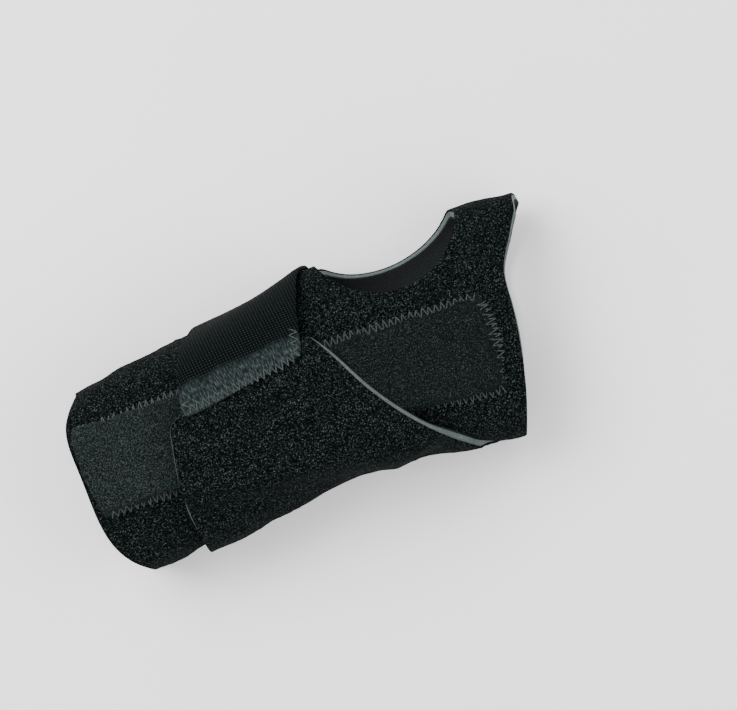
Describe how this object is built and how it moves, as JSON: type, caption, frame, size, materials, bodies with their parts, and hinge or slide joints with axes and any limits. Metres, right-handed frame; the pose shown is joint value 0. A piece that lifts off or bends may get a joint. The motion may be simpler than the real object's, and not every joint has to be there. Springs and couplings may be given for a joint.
{
  "type": "wrist splint",
  "caption": "Neoprene wrist splint with a bent aluminium palmar stay in a sewn pocket, a thumb hole, and a tapered closing flap ending in a webbing hook tab.",
  "frame": {"origin": "on the plane the splint rests on, under the middle of the forearm cuff, on the forearm's axis", "axes": "+X along the forearm towards the fingers, +Y towards the thumb side, +Z out of the palm; the splint lies on its dorsal side in the shape it has when worn on a left hand"},
  "size_m": [0.1888, 0.095, 0.0616],
  "materials": {
    "loop_cloth": "brushed loop, matt",
    "lining_jersey": "smooth knit",
    "neoprene_foam": "raw cut, matt",
    "pocket_cloth": "fine knit",
    "webbing": "ribbed weave",
    "hook_tape": "moulded hooks",
    "thread": "polyester thread",
    "stay_aluminium": "satin",
    "cap_vinyl": "dipped, semi-gloss"
  },
  "bodies": {
    "dorsal_panel": {"dorsal_lining": "lining_jersey", "dorsal_foam": "neoprene_foam", "dorsal_face_cloth": "loop_cloth", "flap_seam_thread": "thread"},
    "palmar_panel": {"palmar_lining": "lining_jersey", "palmar_foam": "neoprene_foam", "palmar_face_cloth": "loop_cloth", "stay_pocket": "pocket_cloth", "pocket_seam_thread": "thread"},
    "stay": {"palmar_stay": "stay_aluminium", "stay_end_caps": "cap_vinyl"},
    "closing_flap": {"flap_lining": "lining_jersey", "flap_foam": "neoprene_foam", "flap_face_cloth": "loop_cloth", "tab_sewn_end": "webbing", "tab_seam_thread": "thread"},
    "hook_tab": {"strap_tab": "webbing", "tab_hook_patch": "hook_tape", "hook_seam_thread": "thread"}
  },
  "joints": [
    {"name": "flap_unwrap", "type": "hinge", "parent": "dorsal_panel", "child": "closing_flap", "pos_m": [0.062, -0.03772, 0.019], "axis": [0.9962, -0.087, 0], "range_deg": [0, 90]},
    {"name": "tab_peel", "type": "hinge", "parent": "closing_flap", "child": "hook_tab", "pos_m": [0.048, 0.02384, 0.05968], "axis": [0.9969, -0.012, -0.0775], "range_deg": [0, 162]},
    {"name": "palmar_open", "type": "hinge", "parent": "dorsal_panel", "child": "palmar_panel", "pos_m": [0.062, 0.03547, 0.02137], "axis": [-0.9996, 0.0239, 0.0133], "range_deg": [0, 45]},
    {"name": "stay_slide", "type": "hinge", "parent": "palmar_panel", "child": "stay", "pos_m": [0.042, 0.00101, -0.4515], "axis": [-0.1822, -0.9833, 0], "range_deg": [0, 17.2]}
  ],
  "couplings": [
    {"joint": "tab_peel", "follows": "flap_unwrap", "ratio": 1.8},
    {"joint": "palmar_open", "follows": "flap_unwrap", "ratio": 0.44}
  ]
}
